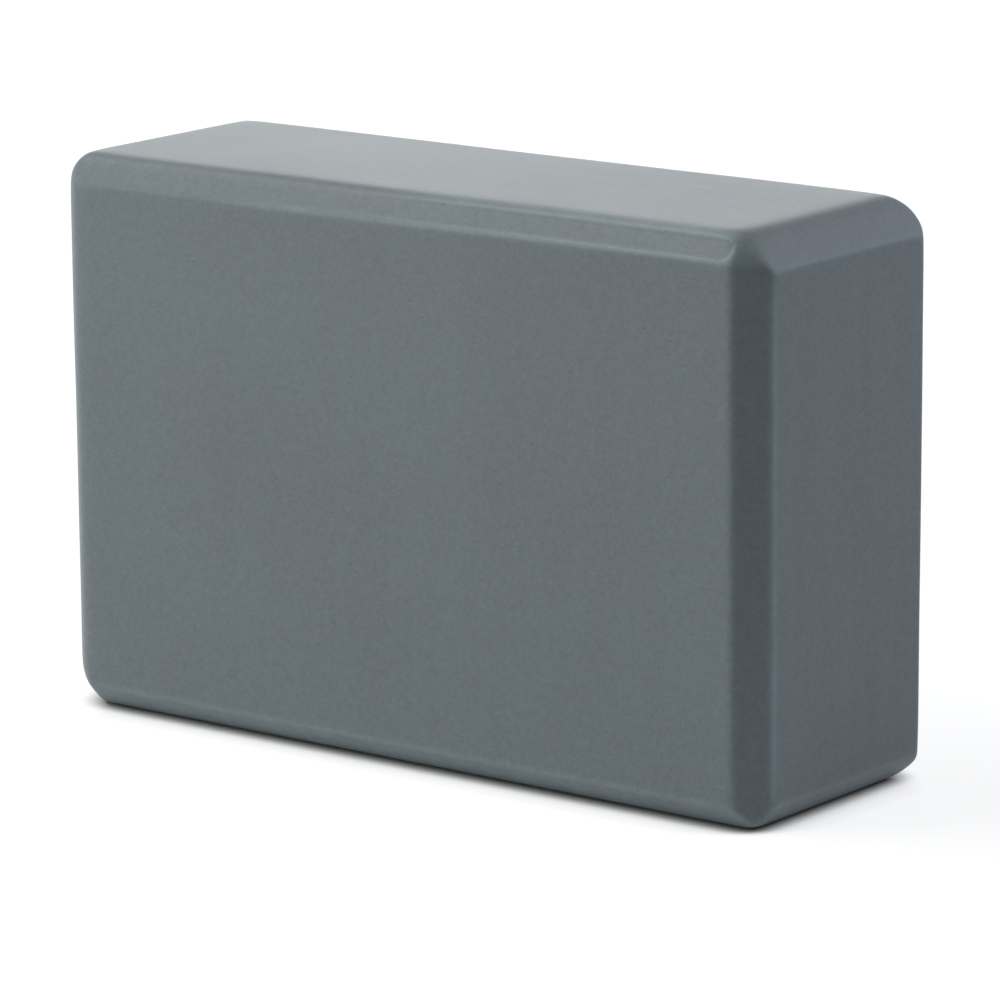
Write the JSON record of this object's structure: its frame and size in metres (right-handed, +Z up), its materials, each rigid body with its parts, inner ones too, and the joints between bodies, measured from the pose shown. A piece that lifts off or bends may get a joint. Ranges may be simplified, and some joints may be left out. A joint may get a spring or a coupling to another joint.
{
  "type": "yoga block",
  "caption": "Rectangular closed-cell foam yoga block with chamfered and eased edges, a firm prop that stands on any of its faces to raise a hand, foot or hip.",
  "frame": {"origin": "middle of the long narrow face that the block stands on", "axes": "+X along the length, +Y through the depth from the front ply to the rear ply, +Z up"},
  "size_m": [0.23, 0.075, 0.15],
  "materials": {
    "eva_foam": "matt grey closed-cell EVA foam, sawn faces and routed chamfers",
    "hot_melt_film": "thin EVA hot-melt adhesive in the colour of the foam"
  },
  "bodies": {
    "root": {"front_ply": "eva_foam", "core_ply": "eva_foam", "rear_ply": "eva_foam", "front_glue_film": "hot_melt_film", "rear_glue_film": "hot_melt_film"}
  },
  "joints": []
}
